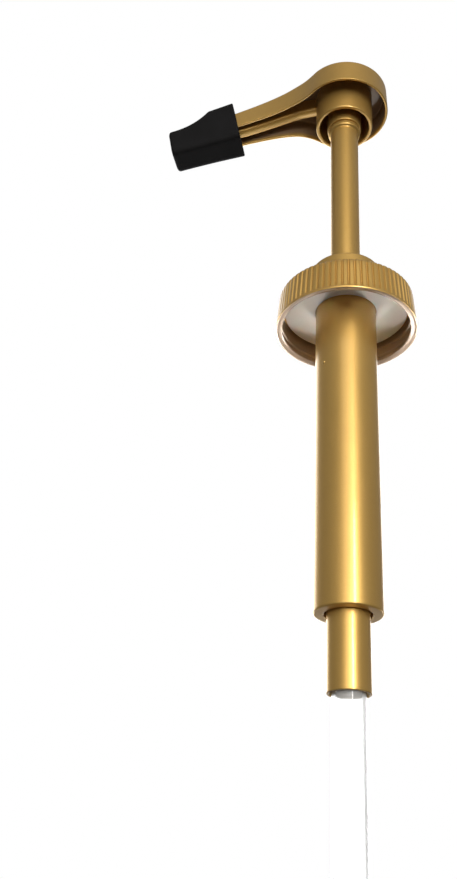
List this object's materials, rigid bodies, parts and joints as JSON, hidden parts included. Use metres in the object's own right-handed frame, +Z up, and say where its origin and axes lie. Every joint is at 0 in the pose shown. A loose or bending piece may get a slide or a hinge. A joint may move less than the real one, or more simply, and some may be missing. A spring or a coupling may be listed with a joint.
{
  "type": "condiment pump dispenser",
  "caption": "Hand pump for sauce or syrup jars: ribbed screw cap, long cylinder and dip tube below, and a sprung plunger above with a drooping spout in a rubber cap.",
  "frame": {"origin": "on the pump axis, at the underside of the gasket, where the rim of the jar bears", "axes": "+Z up along the pump axis towards the head, the spout points to -X, and XZ is the mirror plane"},
  "size_m": [0.111, 0.0562, 0.3786],
  "materials": {
    "gold_plastic": "pearlescent gold, satin",
    "boot_rubber": "matte black moulded rubber",
    "gasket_foam": "white closed-cell foam liner",
    "tube_plastic": "translucent natural polyethylene",
    "natural_plastic": "natural polypropylene",
    "seal_rubber": "smooth black seal rubber",
    "stainless": "polished stainless steel"
  },
  "bodies": {
    "barrel": {"pump_cylinder": "gold_plastic", "gasket_disc": "gasket_foam", "lock_hub": "gold_plastic", "guide_bushing": "natural_plastic", "rod_wiper": "seal_rubber", "foot_valve_housing": "gold_plastic", "inlet_ball_cage": "natural_plastic", "return_spring": "stainless", "dip_tube": "tube_plastic"},
    "closure": {"closure_cap": "gold_plastic"},
    "thrust_washer": {"spring_washer": "stainless"},
    "plunger": {"piston_rod": "gold_plastic", "piston_body": "natural_plastic", "piston_seal": "seal_rubber", "piston_retainer": "natural_plastic", "outlet_ball_stop": "natural_plastic", "rod_top_seal": "seal_rubber", "spout_head": "gold_plastic", "nozzle_boot": "boot_rubber"},
    "inlet_check": {"inlet_ball": "stainless"},
    "outlet_check": {"outlet_ball": "stainless"}
  },
  "joints": [
    {"name": "cap_spin", "type": "hinge", "parent": "barrel", "child": "closure", "pos_m": [0, 0, 0], "axis": [0, 0, 1], "continuous": true},
    {"name": "plunger_stroke", "type": "slide", "parent": "barrel", "child": "thrust_washer", "axis": [0, 0, 1], "range_m": [-0.086, 0], "stiffness_N_per_m": 270, "springref_m": 0.03, "deforming": ["return_spring"]},
    {"name": "spout_swivel", "type": "hinge", "parent": "thrust_washer", "child": "plunger", "pos_m": [0, 0, 0], "axis": [0, 0, 1], "continuous": true},
    {"name": "inlet_ball_lift", "type": "slide", "parent": "barrel", "child": "inlet_check", "axis": [0, 0, 1], "range_m": [0, 0.003]},
    {"name": "outlet_ball_lift", "type": "slide", "parent": "plunger", "child": "outlet_check", "axis": [0, 0, 1], "range_m": [0, 0.003]}
  ]
}
